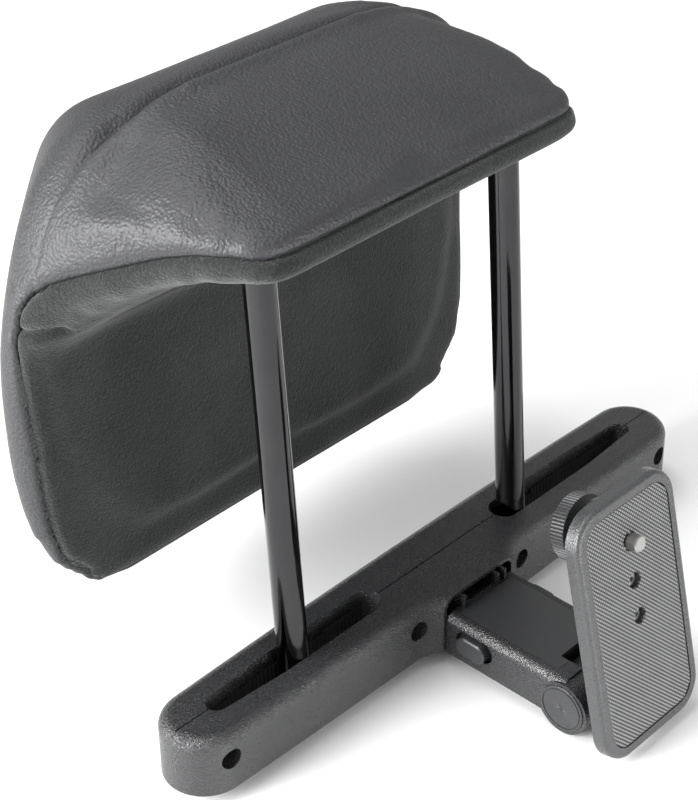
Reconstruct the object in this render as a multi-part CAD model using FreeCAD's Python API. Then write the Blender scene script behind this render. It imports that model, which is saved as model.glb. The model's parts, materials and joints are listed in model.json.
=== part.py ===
"""Seat headrest with a clamp bar for a tablet or camera.

Millimetres, +Z up. The origin is midway between the lower ends of the two posts. +X runs along the
clamp bar, +Y points to the padded side and -Y to the arm and its plate.
"""
import FreeCAD
import Part

import math
import os

V = FreeCAD.Vector
X_AXIS = V(1, 0, 0)
Y_AXIS = V(0, 1, 0)
Z_AXIS = V(0, 0, 1)

# Posts
post_r = 6.0
post_spacing = 127.3
post_lean_deg = 3.76
post_foot = 0.6
post_tip_chamfer = 1.5

# Clamp bar
bar_length = 287.0
bar_height = 25.4
bar_mid_depth = 36.8
bar_end_depth = 33.0
bar_edge_r = 5.0
bar_offset_x = 17.85
seam_groove = 0.8

# Slots that the posts stand in
slot_inner = 35.2
slot_outer = 124.4
slot_taper_start = 90.0
slot_tip_half = 4.3
grip_gap = 0.05
grip_ledge = 0.3
grip_thickness = 2.6
grip_bottom = 3.0
grip_top = 18.6
grip_notch_x = 60.0

# Clamp screws and nuts
screw_r = 2.0
screw_head_r = 3.5
screw_head_h = 4.0
screw_bore_r = 4.2
screw_inner_x = 31.2
screw_outer_x = 128.65
screw_z = 14.4
nut_flats = 7.0
nut_h = 3.2
clamp_wall = 7.0

# Neck that carries the arm
neck_half = 21.1
neck_reach = 4.1
neck_flare = 12.0
mouth_wall = 1.6
mouth_depth = 14.5
plug_half = 13.0
plug_gap = 0.15
rib_t = 1.4
rib_places = (-12.0, 7.5, 11.6)

# Arm
arm_half = 20.1
arm_top = 18.4
arm_wall = 2.5
arm_edge_r = 4.0
arm_gap = 0.45
hinge_reach = 58.0
hinge_z = 6.0
barrel_r = 11.35
lid_half = 15.6
lid_t = 1.2
lid_setback = 2.4
lid_notch_half = 8.6
lid_notch_deep = 3.8
base_t = 2.0

# Side buttons of the arm
button_from_neck = 14.6
button_length = 14.2
button_height = 8.6
button_z = 10.0
button_proud = 3.0
button_gap = 0.4
button_slot_length = 18.2
button_travel = 3.0
flange_lip = 1.5
flange_t = 1.6
spring_r = 2.6
spring_wire_r = 0.35
spring_turns = 7
spring_rib_half = 1.6

# Plate hinge
knuckle_half = 8.0
washer_t = 0.45
hinge_face_gap = 0.05
bolt_r = 2.5
bolt_gap = 0.05
bolt_head_r = 4.4
bolt_head_h = 3.4
hinge_nut_flats = 8.0
hinge_nut_h = 3.4
cap_r = 9.9
cap_t = 2.2
cap_proud = 0.5

# Plate that holds the device
plate_tilt_deg = 13.2
pad_from_hinge = 27.3
pad_above_hinge = 37.2
plate_w = 57.0
plate_h = 102.5
plate_t = 6.0
plate_corner_r = 13.0
plate_edge_r = 2.0
pad_w = 47.6
pad_h = 93.1
pad_corner_r = 8.5
pad_t = 1.6
pad_groove = 0.35
stud_above_pad = 31.3
screw_hole_r = 3.3
upper_hole = 15.0
lower_hole = 0.2
spine_half = 10.0
spine_t = 6.0
boss_r = 13.0
boss_t = 10.7
spine_screw_r = 1.9
spine_screw_head_r = 3.1

# Camera screw and its thumb wheel
stud_r = 3.175
stud_proud = 4.6
stud_bore_gap = 0.08
wheel_r = 13.0
wheel_t = 5.7
wheel_gap = 4.0
wheel_hub_r = 5.6
wheel_teeth = 60
tooth_deep = 0.55
clip_r = 5.0
clip_t = 0.9

# Headrest
head_half = 122.0
pad_back_y = 69.7
pad_bottom = 34.0
pad_front_y = 128.0
crest_y = 90.0
crest_z = 221.0
flap_front_y = -13.0
flap_half = 85.0
flap_under = 191.0
flap_lip_z = 205.0
flap_rear_y = 62.0
flap_rear_z = 225.5
groove_y = 73.0
groove_z = 220.5
seam_gap = 0.4
cover_t = 1.6
hole_gap = 0.2
hollow_z = 147.0
hollow_mid_y = 51.0
hollow_mid_z = 169.5
hollow_front_y = -2.0
seam_inset = 1.8
frame_t = 2.0
frame_half = 78.0
frame_z = 199.0
frame_drop = 120.0
collar_r = 9.5
collar_h = 4.0

lean = math.radians(post_lean_deg)
lean_vec = V(0, math.sin(lean), math.cos(lean))
bar_place = V(bar_offset_x, bar_height * math.tan(lean), 0)
bar_half = bar_length / 2
end_r = bar_end_depth / 2
slot_half = post_r + grip_gap + grip_ledge
wall_y = -bar_mid_depth / 2
neck_y = wall_y - neck_reach
arm_root_y = neck_y - arm_gap
hinge_y = neck_y - hinge_reach
over = 1.0


# ---- plain shapes -------------------------------------------------------------------------------
def box(x0, x1, y0, y1, z0, z1):
    return Part.makeBox(x1 - x0, y1 - y0, z1 - z0, V(x0, y0, z0))


def rod(radius, start, along, length):
    return Part.makeCylinder(radius, length, start, along)


def ring(outer, inner, start, along, length):
    return rod(outer, start, along, length).cut(rod(inner, start, along, length))


def line(a, b):
    return Part.LineSegment(a, b).toShape()


def arc(a, mid, b):
    return Part.Arc(a, mid, b).toShape()


def face_of(edges):
    return Part.Face(Part.Wire(edges))


def outline(points, close=True):
    return Part.Face(Part.makePolygon(points + ([points[0]] if close else [])))


def hex_prism(flats, start, along, length):
    """A six-sided prism, as a nut or its pocket, with two corners up and down."""
    corner = flats / math.sqrt(3)
    side = along.cross(Z_AXIS)
    ends = []
    for k in range(6):
        a = math.radians(90 + 60 * k)
        ends.append(start + side * (corner * math.cos(a)) + Z_AXIS * (corner * math.sin(a)))
    return outline(ends).extrude(along * length)


def round_rect(width, height, radius, y0, thick, z_mid=0.0):
    """A plate in the XZ plane with rounded corners, from y0 towards +Y."""
    solid = box(-width / 2, width / 2, y0, y0 + thick, z_mid - height / 2, z_mid + height / 2)
    corners = [e for e in solid.Edges if abs(e.tangentAt(e.FirstParameter).y) > 0.99]
    return solid.makeFillet(radius, corners)


def fuse(first, *others):
    for other in others:
        first = first.fuse(other)
    return first.removeSplitter()


def cut(solid, *tools):
    for tool in tools:
        solid = solid.cut(tool)
    return solid


def both_sides(solid):
    return solid, solid.mirror(V(0, 0, 0), X_AXIS)


def fillet_where(solid, radius, wanted):
    edges = [e for e in solid.Edges if wanted(e)]
    return solid.makeFillet(radius, edges)


def save(name, solids):
    parts = solids if isinstance(solids, (list, tuple)) else [solids]
    flat = []
    for part in parts:
        flat.extend(part.Solids)
    for part in flat:
        if not part.isValid() or part.Volume <= 0:
            raise ValueError(name + " has a solid that isn't sound")
    shape = flat[0] if len(flat) == 1 else Part.makeCompound(flat)
    shape.exportStep("parts/" + name + ".step")
    print(name, len(flat), round(sum(p.Volume for p in flat) / 1000, 2), "cm3")


# ---- clamp bar, in its own frame: x = 0 at the arm, y = 0 on the parting plane --------------------
def tangent_arc(start, direction, end):
    """The arc that leaves start along direction and finishes at end, in a flat plane z = 0."""
    normal = V(-direction.y, direction.x, 0)
    chord = end - start
    if normal.dot(chord) < 0:
        normal = -normal
    radius = chord.dot(chord) / (2 * normal.dot(chord))
    centre = start + normal * radius
    middle = (start - centre) + (end - centre)
    middle.normalize()
    return arc(start, centre + middle * radius, end)


def bar_solid():
    """The closed bar with its neck: bowed long sides, round ends and a rounded upper edge."""
    mid, end, turn = bar_mid_depth / 2, bar_end_depth / 2, bar_half - end_r
    corners = [V(turn, end, 0), V(-turn, end, 0), V(-turn, -end, 0), V(turn, -end, 0)]
    bow = (turn * turn + (mid - end) ** 2) / (2 * (mid - end))
    flare_x = neck_half + neck_flare
    flare_y = bow - mid - math.sqrt(bow * bow - flare_x * flare_x)
    slope = V(bow - mid - flare_y, -flare_x, 0)
    slope.normalize()
    wing = V(-flare_x, flare_y, 0)
    lip = V(-neck_half, neck_y, 0)
    half_way = (turn + flare_x) / 2
    half_y = bow - mid - math.sqrt(bow * bow - half_way * half_way)
    edges = [
        arc(corners[0], V(0, mid, 0), corners[1]),
        arc(corners[1], V(-bar_half, 0, 0), corners[2]),
        arc(corners[2], V(-half_way, half_y, 0), wing),
        tangent_arc(wing, slope, lip),
        line(lip, V(neck_half, neck_y, 0)),
        tangent_arc(V(flare_x, flare_y, 0), V(-slope.x, slope.y, 0), V(neck_half, neck_y, 0)),
        arc(V(flare_x, flare_y, 0), V(half_way, half_y, 0), corners[3]),
        arc(corners[3], V(bar_half, 0, 0), corners[0]),
    ]
    bar = face_of(edges).extrude(V(0, 0, bar_height))

    def upper(edge):
        b = edge.BoundBox
        return b.ZMin > bar_height - 0.01 and b.YMax > neck_y + 0.01

    return fillet_where(bar, bar_edge_r, upper)


def slot_prism(inset):
    """The post slot on the +x side, sheared to the posts' lean, with its walls moved in by inset."""
    w = slot_half - inset
    tip = slot_tip_half - inset
    inner = slot_inner + inset
    outer = slot_outer - inset
    far = outer - tip
    points = [V(inner + w, w, 0), V(slot_taper_start, w, 0), V(far, tip, 0)]
    back = [V(p.x, -p.y, 0) for p in points]
    edges = [
        line(points[0], points[1]),
        line(points[1], points[2]),
        arc(points[2], V(outer, 0, 0), back[2]),
        line(back[2], back[1]),
        line(back[1], back[0]),
        arc(back[0], V(inner, 0, 0), points[0]),
    ]
    face = face_of(edges)
    height = bar_height + 2 * over
    slope = math.tan(lean)
    face.translate(V(0, -(bar_height + over) * slope, -over))
    return face.extrude(V(0, height * slope, height))


def grip_channel():
    """The pocket for the two grips of one slot, on the +x side."""
    reach = slot_half + grip_thickness
    x0 = slot_inner + slot_half / 2
    x1 = slot_outer - slot_tip_half
    y_mid = lean_y((grip_bottom + grip_top) / 2 - bar_height)
    return box(x0, x1, y_mid - reach, y_mid + reach, grip_bottom, grip_top)


def grips():
    """Rubber grips: front and rear strip of each slot, with an inner face along the leaning posts."""
    channel = grip_channel().cut(slot_prism(grip_ledge))
    notch = box(grip_notch_x, grip_notch_x + 6, 0, slot_half + 0.8, grip_top - 1.6, grip_top)
    rear = channel.common(box(0, bar_half, 0, bar_mid_depth, 0, bar_height)).cut(notch)
    front = channel.common(box(0, bar_half, -bar_mid_depth, 0, 0, bar_height))
    return front, rear


def clamp_bores():
    """Stepped holes for the four clamp screws, with a nut pocket open at the back."""
    tools = []
    head_y = -clamp_wall - screw_head_h
    for x in (-screw_outer_x, -screw_inner_x, screw_inner_x, screw_outer_x):
        tools.append(rod(screw_bore_r, V(x, head_y, screw_z), -Y_AXIS, bar_mid_depth))
        tools.append(rod(screw_head_r + 0.1, V(x, -clamp_wall, screw_z), -Y_AXIS, screw_head_h + 0.1))
        tools.append(rod(screw_r, V(x, -bar_mid_depth, screw_z), Y_AXIS, 2 * bar_mid_depth))
        tools.append(hex_prism(nut_flats, V(x, clamp_wall, screw_z), Y_AXIS, bar_mid_depth))
    return tools


def mouth():
    """The neck's opening for the arm's plug."""
    w = neck_half - mouth_wall
    h = bar_height - 2 * mouth_wall
    pocket = box(-w, w, neck_y - over, neck_y + mouth_depth, mouth_wall, mouth_wall + h)
    corners = [e for e in pocket.Edges if abs(e.tangentAt(e.FirstParameter).y) > 0.99]
    pocket = pocket.makeFillet(4.0, corners)
    catch_x = w + 1.6
    catch = box(-catch_x, catch_x, neck_y + 8.2, neck_y + 12.2, button_z - 5.0, button_z + 5.0)
    return pocket.fuse(catch)


def bar_halves():
    whole = bar_solid()
    whole = cut(whole, *both_sides(slot_prism(0.0)))
    whole = cut(whole, *both_sides(grip_channel()))
    whole = cut(whole, *clamp_bores())
    whole = cut(whole, mouth())
    half_groove = seam_groove / 2
    groove = outline([
        V(-bar_half - over, -half_groove, bar_height + 0.01),
        V(-bar_half - over, half_groove, bar_height + 0.01),
        V(-bar_half - over, 0, bar_height - seam_groove),
    ]).extrude(V(bar_length + 2 * over, 0, 0))
    whole = whole.cut(groove)
    deep = bar_mid_depth
    front = whole.common(box(-bar_length, bar_length, -deep * 2, 0, -over, bar_height + over))
    rear = whole.common(box(-bar_length, bar_length, 0, deep * 2, -over, bar_height + over))
    return front, rear


def clamp_screws():
    screws = []
    length = clamp_wall * 2 + nut_h + 0.6
    for x in (-screw_outer_x, -screw_inner_x, screw_inner_x, screw_outer_x):
        head = rod(screw_head_r, V(x, -clamp_wall, screw_z), -Y_AXIS, screw_head_h)
        socket = hex_prism(3.0, V(x, -clamp_wall - screw_head_h, screw_z), Y_AXIS, 2.2)
        shank = rod(screw_r, V(x, -clamp_wall, screw_z), Y_AXIS, length)
        screws.append(fuse(head, shank).cut(socket))
    return screws


def clamp_nuts():
    nuts = []
    for x in (-screw_outer_x, -screw_inner_x, screw_inner_x, screw_outer_x):
        nut = hex_prism(nut_flats - 0.1, V(x, clamp_wall, screw_z), Y_AXIS, nut_h)
        nuts.append(nut.cut(rod(screw_r, V(x, clamp_wall - over, screw_z), Y_AXIS, nut_h + 2 * over)))
    return nuts


# ---- arm ------------------------------------------------------------------------------------------
def button_y():
    return neck_y - button_from_neck


def stadium(length, height, x0, x1, y_mid, z_mid):
    """A slot or block with round ends, along y, between x0 and x1."""
    r = height / 2
    straight = length / 2 - r
    body = box(x0, x1, y_mid - straight, y_mid + straight, z_mid - r, z_mid + r)
    ends = [rod(r, V(x0, y_mid + s * straight, z_mid), X_AXIS, x1 - x0) for s in (-1, 1)]
    return fuse(body, *ends)


def arm_shell():
    """Hollow arm with the plug for the neck, two hinge ears, button slots and a spring rib."""
    far_y = hinge_y
    shell = box(-arm_half, arm_half, far_y, arm_root_y, 0, arm_top)

    def top_side(edge):
        b = edge.BoundBox
        return b.ZMin > arm_top - 0.01 and abs(abs(b.XMin) - arm_half) < 0.01 and b.XLength < 0.01

    shell = fillet_where(shell, arm_edge_r, top_side)
    shell = fuse(shell, rod(barrel_r, V(-arm_half, hinge_y, hinge_z), X_AXIS, 2 * arm_half))
    plug = box(-plug_half, plug_half, arm_root_y, neck_y + mouth_depth - 0.6,
               mouth_wall + plug_gap, arm_top - lid_t - 0.8)
    ribs = [
        box(x, x + rib_t, arm_root_y - lid_setback, neck_y + mouth_depth - 0.6,
            arm_top - lid_t - 1.0, bar_height - mouth_wall - plug_gap)
        for x in rib_places
    ]
    shell = fuse(shell, plug, *ribs)
    inner = arm_half - arm_wall
    cavity_end = hinge_y + barrel_r + arm_wall
    cavity = box(-inner, inner, cavity_end, arm_root_y - arm_wall - lid_setback,
                 -over, arm_top - lid_t - arm_wall)
    shell = shell.cut(cavity)
    knuckle_room = knuckle_half + washer_t + 2 * hinge_face_gap
    swing = rod(barrel_r + 0.7, V(-knuckle_room, hinge_y, hinge_z), X_AXIS, 2 * knuckle_room)
    front_room = box(-knuckle_room, knuckle_room, hinge_y - 2 * barrel_r, hinge_y, -barrel_r, arm_top + over)
    top_room = box(-knuckle_room, knuckle_room, hinge_y, lid_far() + lid_notch_deep, hinge_z + 6.0, arm_top + over)
    shell = cut(shell, swing, front_room, top_room)
    shell = cut(shell, lid_recess(0.0))
    y_mid = button_y()
    half = arm_half + over
    shell = shell.cut(stadium(button_slot_length, button_height + 2 * button_gap, -half, half, y_mid, button_z))
    rib = box(-spring_rib_half, spring_rib_half, y_mid - button_length / 2, y_mid + button_length / 2,
              base_t, arm_top - lid_t - arm_wall + 0.2)
    shell = fuse(shell, rib)
    window = box(plug_half + 0.3, inner, arm_root_y - arm_wall - lid_setback - 0.1, arm_root_y + over,
                 button_z - 4.6, button_z + 4.6)
    shell = cut(shell, *both_sides(window))
    bosses = [rod(3.4, V(0, y, base_t), Z_AXIS, arm_top - lid_t - arm_wall - base_t + 0.2)
              for y in base_screw_places()]
    shell = fuse(shell, *bosses)
    drills = [rod(1.25, V(0, y, -over), Z_AXIS, 10.0 + over) for y in base_screw_places()]
    shell = cut(shell, *drills)
    ear_in = knuckle_room
    bolt_start = bolt_seat()
    shell = cut(
        shell,
        rod(bolt_r, V(-arm_half, hinge_y, hinge_z), X_AXIS, 2 * arm_half),
        rod(bolt_head_r + 0.1, V(-arm_half, hinge_y, hinge_z), X_AXIS, arm_half - bolt_start),
        hex_prism(hinge_nut_flats + 0.1, V(bolt_start, hinge_y, hinge_z), X_AXIS, arm_half - bolt_start),
        rod(cap_r + 0.05, V(-arm_half, hinge_y, hinge_z), X_AXIS, cap_t - cap_proud),
        rod(cap_r + 0.05, V(arm_half, hinge_y, hinge_z), -X_AXIS, cap_t - cap_proud),
    )
    if bolt_start <= ear_in:
        raise ValueError("the hinge bolt's head has no ear to bear on")
    return shell


def bolt_seat():
    """How far from the arm's middle plane the bolt head and the nut bear on the ears."""
    return arm_half - (cap_t - cap_proud) - 0.3 - bolt_head_h - 0.4


def base_screw_places():
    front = hinge_y + barrel_r + arm_wall + 5.0
    return front, (front + button_y() - button_length / 2) / 2 + 1.0


def lid_far():
    """The end of the lid over the hinge ears."""
    return hinge_y + barrel_r - 5.2


def lid_recess(gap):
    """The inlaid smooth top cover of the arm, smaller than its recess by gap."""
    near = arm_root_y - lid_setback - gap
    far = lid_far() + gap
    half = lid_half - gap
    plate = box(-half, half, far, near, arm_top - lid_t, arm_top + (over if gap == 0 else 0))
    notch_half = lid_notch_half + gap
    notch = box(-notch_half, notch_half, far - over, far + lid_notch_deep + gap, 0, arm_top + 2 * over)
    return plate if gap == 0 else plate.cut(notch)


def arm_base_cover():
    inner = arm_half - arm_wall - 0.1
    y0 = hinge_y + barrel_r + arm_wall + 0.1
    y1 = arm_root_y - arm_wall - lid_setback - 0.1
    plate = box(-inner, inner, y0, y1, 0, base_t - 0.05)
    for y in base_screw_places():
        plate = plate.cut(rod(1.25, V(0, y, -over), Z_AXIS, base_t + 2 * over))
        plate = plate.cut(rod(2.3, V(0, y, -over), Z_AXIS, over + 1.0))
    return plate


def base_screws():
    screws = []
    for y in base_screw_places():
        screws.append(fuse(rod(2.2, V(0, y, 0.05), Z_AXIS, 0.95), rod(1.25, V(0, y, 0.5), Z_AXIS, 8.0)))
    return screws


def left_button():
    """Button block in the side slot, its flange inside the wall and the catch that reaches the neck."""
    y_mid = button_y()
    inner = -(arm_half - arm_wall)
    block = stadium(button_length, button_height, -arm_half - button_proud, inner + 0.2, y_mid, button_z)
    block = block.makeChamfer(0.6, [e for e in block.Edges if e.BoundBox.XMax < -arm_half - button_proud + 0.01])
    flange_in = inner + 0.05
    z0, z1 = button_z - button_height / 2 - flange_lip, button_z + button_height / 2 + flange_lip
    z0 = max(z0, base_t + 0.3)
    z1 = min(z1, arm_top - lid_t - arm_wall - 0.2)
    y_far = y_mid - button_slot_length / 2 - flange_lip
    y_near = arm_root_y - arm_wall - lid_setback - 0.3
    flange = box(flange_in, flange_in + flange_t, y_far, y_near, z0, z1)
    hook = box(flange_in, flange_in + flange_t, y_near - 0.1, neck_y + 12.0, button_z - 4.2, button_z + 4.2)
    barb_x = -(neck_half - mouth_wall) - 1.2
    barb = outline([
        V(flange_in + 0.2, neck_y + 8.6, 0),
        V(barb_x, neck_y + 8.6, 0),
        V(flange_in + 0.2, neck_y + 12.0, 0),
    ]).extrude(V(0, 0, 7.6))
    barb.translate(V(0, 0, button_z - 3.8))
    pip = rod(spring_r - spring_wire_r - 0.15, V(flange_in + flange_t - 0.1, y_mid, button_z), X_AXIS, 2.0)
    return fuse(block, flange, hook, barb, pip)


def left_spring():
    """Coil spring between the button's flange and the arm's middle rib."""
    start = -(arm_half - arm_wall) + 0.05 + flange_t + spring_wire_r + 0.02
    length = -spring_rib_half - spring_wire_r - 0.02 - start
    pitch = length / spring_turns
    helix = Part.makeHelix(pitch, length, spring_r)
    section = Part.Wire([Part.makeCircle(spring_wire_r, V(spring_r, 0, 0), V(0, 1, 0))])
    coil = Part.Wire(helix.Edges).makePipeShell([section], True, True)
    coil.rotate(V(0, 0, 0), Y_AXIS, 90)
    coil.translate(V(start, button_y(), button_z))
    return coil if coil.Volume > 0 else coil.reversed()


def hinge_bolt():
    seat = bolt_seat()
    head = rod(bolt_head_r, V(-seat, hinge_y, hinge_z), -X_AXIS, bolt_head_h)
    shank = rod(bolt_r, V(-seat, hinge_y, hinge_z), X_AXIS, 2 * seat + hinge_nut_h - 0.2)
    socket = hex_along_x(4.0, -seat - bolt_head_h, 2.4)
    return fuse(head, shank).cut(socket)


def hex_along_x(flats, x0, length):
    return hex_prism(flats, V(x0, hinge_y, hinge_z), X_AXIS, length)


def hinge_nut():
    seat = bolt_seat()
    bore = rod(bolt_r, V(seat - over, hinge_y, hinge_z), X_AXIS, hinge_nut_h + 2 * over)
    return hex_along_x(hinge_nut_flats, seat, hinge_nut_h).cut(bore)


def friction_washers():
    near = knuckle_half + hinge_face_gap
    out = ring(barrel_r - 2.0, bolt_r, V(-near, hinge_y, hinge_z), -X_AXIS, washer_t)
    return both_sides(out)


def left_cap():
    """Round cover disc over the bolt head, with a shallow dished face and a fine edge."""
    x0 = -arm_half - cap_proud
    disc = rod(cap_r, V(x0, hinge_y, hinge_z), X_AXIS, cap_t)
    disc = disc.makeFillet(0.4, [e for e in disc.Edges if e.BoundBox.XMax < x0 + 0.01])
    dish = ring(cap_r - 1.0, cap_r - 1.5, V(x0 - over, hinge_y, hinge_z), X_AXIS, over + 0.35)
    return disc.cut(dish)


# ---- plate, drawn upright with the hinge axis at the origin ---------------------------------------
def stand_plate(solid):
    """Turns a plate piece to its tilt and moves it onto the hinge."""
    solid = solid.copy()
    solid.rotate(V(0, 0, 0), X_AXIS, -plate_tilt_deg)
    solid.translate(V(0, hinge_y, hinge_z))
    return solid


def stud_height():
    return pad_above_hinge + stud_above_pad


def plate_body():
    back = -pad_from_hinge
    body = round_rect(plate_w, plate_h, plate_corner_r, back, plate_t, pad_above_hinge)
    body = body.makeFillet(plate_edge_r, [e for e in body.Edges if e.BoundBox.YMax < back + 0.01])
    recess = round_rect(pad_w + 2 * pad_groove, pad_h + 2 * pad_groove, pad_corner_r + pad_groove,
                        back - over, over + pad_t, pad_above_hinge)
    body = body.cut(recess)
    for z in (upper_hole, lower_hole):
        at = V(0, back, pad_above_hinge + z)
        body = cut(body, rod(screw_hole_r, at, Y_AXIS, plate_t - 1.6), rod(spine_screw_r, at, Y_AXIS, plate_t + over))
    return body.cut(rod(stud_r + stud_bore_gap, V(0, back - over, stud_height()), Y_AXIS, plate_t + 2 * over))


def rubber_pad():
    front = -pad_from_hinge
    pad = round_rect(pad_w, pad_h, pad_corner_r, front, pad_t, pad_above_hinge)
    for z in (upper_hole, lower_hole):
        pad = pad.cut(rod(screw_hole_r, V(0, front - over, pad_above_hinge + z), Y_AXIS, pad_t + 2 * over))
    return pad.cut(rod(stud_r + 0.6, V(0, front - over, stud_height()), Y_AXIS, pad_t + 2 * over))


def bracket():
    """Hinge knuckle, web and the spine behind the plate, ending in the round boss of the screw."""
    spine_y = plate_t - pad_from_hinge
    knuckle = rod(barrel_r, V(-knuckle_half, 0, 0), X_AXIS, 2 * knuckle_half)
    meet = math.radians(130)
    web = outline([
        V(-knuckle_half, spine_y + 1.0, -9.5),
        V(-knuckle_half, -3.0, -barrel_r + 0.6),
        V(-knuckle_half, 0, 0),
        V(-knuckle_half, (barrel_r - 0.1) * math.cos(meet), (barrel_r - 0.1) * math.sin(meet)),
        V(-knuckle_half, spine_y + 1.0, 24.0),
    ]).extrude(V(2 * knuckle_half, 0, 0))
    spine = box(-spine_half, spine_half, spine_y, spine_y + spine_t, -10.0, stud_height())
    boss = rod(boss_r, V(0, spine_y, stud_height()), Y_AXIS, boss_t)
    boss = boss.makeFillet(1.2, [e for e in boss.Edges if e.BoundBox.YMin > spine_y + boss_t - 0.01])
    body = fuse(knuckle, web, spine, boss)
    body = body.cut(rod(bolt_r + bolt_gap, V(-knuckle_half - over, 0, 0), X_AXIS, 2 * (knuckle_half + over)))
    for z in (upper_hole, lower_hole):
        body = body.cut(rod(spine_screw_r, V(0, spine_y - over, pad_above_hinge + z), Y_AXIS, spine_t + 2 * over))
    bore = rod(stud_r + stud_bore_gap, V(0, spine_y - over, stud_height()), Y_AXIS, boss_t + 2 * over)
    return body.cut(bore)


def bracket_screws():
    screws = []
    seat = plate_t - 1.6 - pad_from_hinge
    for z in (upper_hole, lower_hole):
        at = V(0, seat, pad_above_hinge + z)
        head = rod(spine_screw_head_r, at, -Y_AXIS, 2.2)
        head = head.makeFillet(0.9, [e for e in head.Edges if e.BoundBox.YMax < seat - 2.1])
        shank = rod(spine_screw_r, at, Y_AXIS, 1.6 + spine_t - 0.5)
        screws.append(fuse(head, shank).cut(hex_prism(2.0, at - Y_AXIS * 2.3, Y_AXIS, 1.5)))
    return screws


def wheel_face_y():
    return plate_t - pad_from_hinge + boss_t + wheel_gap


def camera_screw():
    """Quarter-inch stud through plate and boss, with a clip groove behind the boss."""
    start = -pad_from_hinge - stud_proud
    length = wheel_face_y() + wheel_t - 1.0 - start
    stud = rod(stud_r, V(0, start, stud_height()), Y_AXIS, length)
    stud = stud.makeChamfer(0.5, [e for e in stud.Edges if e.BoundBox.YMax < start + 0.01])
    groove_at = V(0, clip_y(), stud_height())
    relief_at = V(0, -pad_from_hinge, stud_height())
    return cut(
        stud,
        ring(stud_r + over, stud_r - 0.5, groove_at, Y_AXIS, clip_t),
        ring(stud_r + over, stud_r - 0.5, relief_at, Y_AXIS, pad_t),
    )


def clip_y():
    return plate_t - pad_from_hinge + boss_t + 0.1


def stud_clip():
    clip = ring(clip_r, stud_r - 0.5, V(0, clip_y(), stud_height()), Y_AXIS, clip_t)
    mouth_half = stud_r * 0.6
    return clip.cut(box(-mouth_half, mouth_half, clip_y() - over, clip_y() + clip_t + over,
                        stud_height() - clip_r - over, stud_height()))


def thumb_wheel():
    """Knurled wheel with a dished back and a hub that reaches towards the boss."""
    y0 = wheel_face_y()
    points = []
    for k in range(wheel_teeth):
        for share, depth in ((0.0, tooth_deep), (0.3, 0.0), (0.7, 0.0)):
            a = 2 * math.pi * (k + share) / wheel_teeth
            r = wheel_r - depth
            points.append(V(r * math.cos(a), y0, stud_height() + r * math.sin(a)))
    wheel = outline(points).extrude(V(0, wheel_t, 0))
    hub_start = clip_y() + clip_t + 0.1
    hub = rod(wheel_hub_r, V(0, hub_start, stud_height()), Y_AXIS, y0 - hub_start + 0.1)
    dish = rod(wheel_r - 3.0, V(0, y0 + wheel_t - 0.8, stud_height()), Y_AXIS, over)
    bore = rod(stud_r, V(0, hub_start - over, stud_height()), Y_AXIS, y0 + wheel_t - 1.0 - hub_start + over)
    return cut(fuse(wheel, hub), dish, bore)


# ---- headrest --------------------------------------------------------------------------------------
def post(side, grow=0.0):
    x = side * post_spacing / 2
    top = (frame_z + collar_h) / math.cos(lean)
    length = top - post_foot
    start = lean_vec * post_foot
    bar = rod(post_r + grow, V(x, start.y, start.z), lean_vec, length)
    if grow:
        return bar
    return bar.makeChamfer(post_tip_chamfer, [e for e in bar.Edges if e.BoundBox.ZMax < post_foot + 2.0])


def lean_y(z):
    return z * math.tan(lean)


def back_plane(inset, z):
    """A point of the back panel, which leans with the posts, at height z."""
    return V(0, pad_back_y + inset / math.cos(lean) + lean_y(z - pad_bottom), z)


def underside_curve(inset):
    """Three points of the hollow curve from the back panel up to the flap's underside."""
    slope = math.radians(50.0)
    low = back_plane(inset, hollow_z)
    mid = V(0, hollow_mid_y + inset * math.cos(slope), hollow_mid_z + inset * math.sin(slope))
    high = V(0, hollow_front_y, flap_under + inset)
    return low, mid, high


def smooth_curve(points):
    """One smooth edge through the points."""
    curve = Part.BSplineCurve()
    curve.interpolate(points)
    return curve.toShape()


def head_profile(inset):
    """Side outline of the cushion moved in by inset, pulled along X to a slab."""
    back = pad_back_y + inset
    low = pad_bottom + inset
    under = flap_under + inset
    front = flap_front_y + inset
    face = pad_front_y - inset
    lip = flap_lip_z - inset
    rise = crest_z - inset
    sweep_low, sweep_mid, sweep_high = underside_curve(inset)
    groove = V(0, groove_y, groove_z - inset)
    edges = [
        arc(V(0, back + 6, low), V(0, back + 1.5, low + 2.5), back_plane(inset, low + 9)),
        line(back_plane(inset, low + 9), sweep_low),
        arc(sweep_low, sweep_mid, sweep_high),
        line(sweep_high, V(0, front + 5, under)),
        arc(V(0, front + 5, under), V(0, front, (under + lip) / 2), V(0, front + 6, lip)),
        arc(V(0, front + 6, lip), V(0, 28.0, lip + 12.0), V(0, flap_rear_y, flap_rear_z - inset)),
        arc(V(0, flap_rear_y, flap_rear_z - inset), V(0, flap_rear_y + 8.0, flap_rear_z - inset - 1.6), groove),
        smooth_curve([
            groove,
            V(0, crest_y - 6.0, rise + 0.6),
            V(0, crest_y + 4.0, rise),
            V(0, face - 17.0, rise - 9.0),
            V(0, face - 7.0, rise - 24.0),
            V(0, face - 1.5, rise - 48.0),
            V(0, face, rise - 85.0),
            V(0, face - 4.0, low + 52.0),
            V(0, face - 13.0, low + 20.0),
            V(0, face - 26.0, low + 4.0),
            V(0, face - 38.0, low),
        ]),
        line(V(0, face - 38.0, low), V(0, back + 6, low)),
    ]
    slab = face_of(edges).extrude(V(4 * head_half, 0, 0))
    slab.translate(V(-2 * head_half, 0, 0))
    return slab


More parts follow.
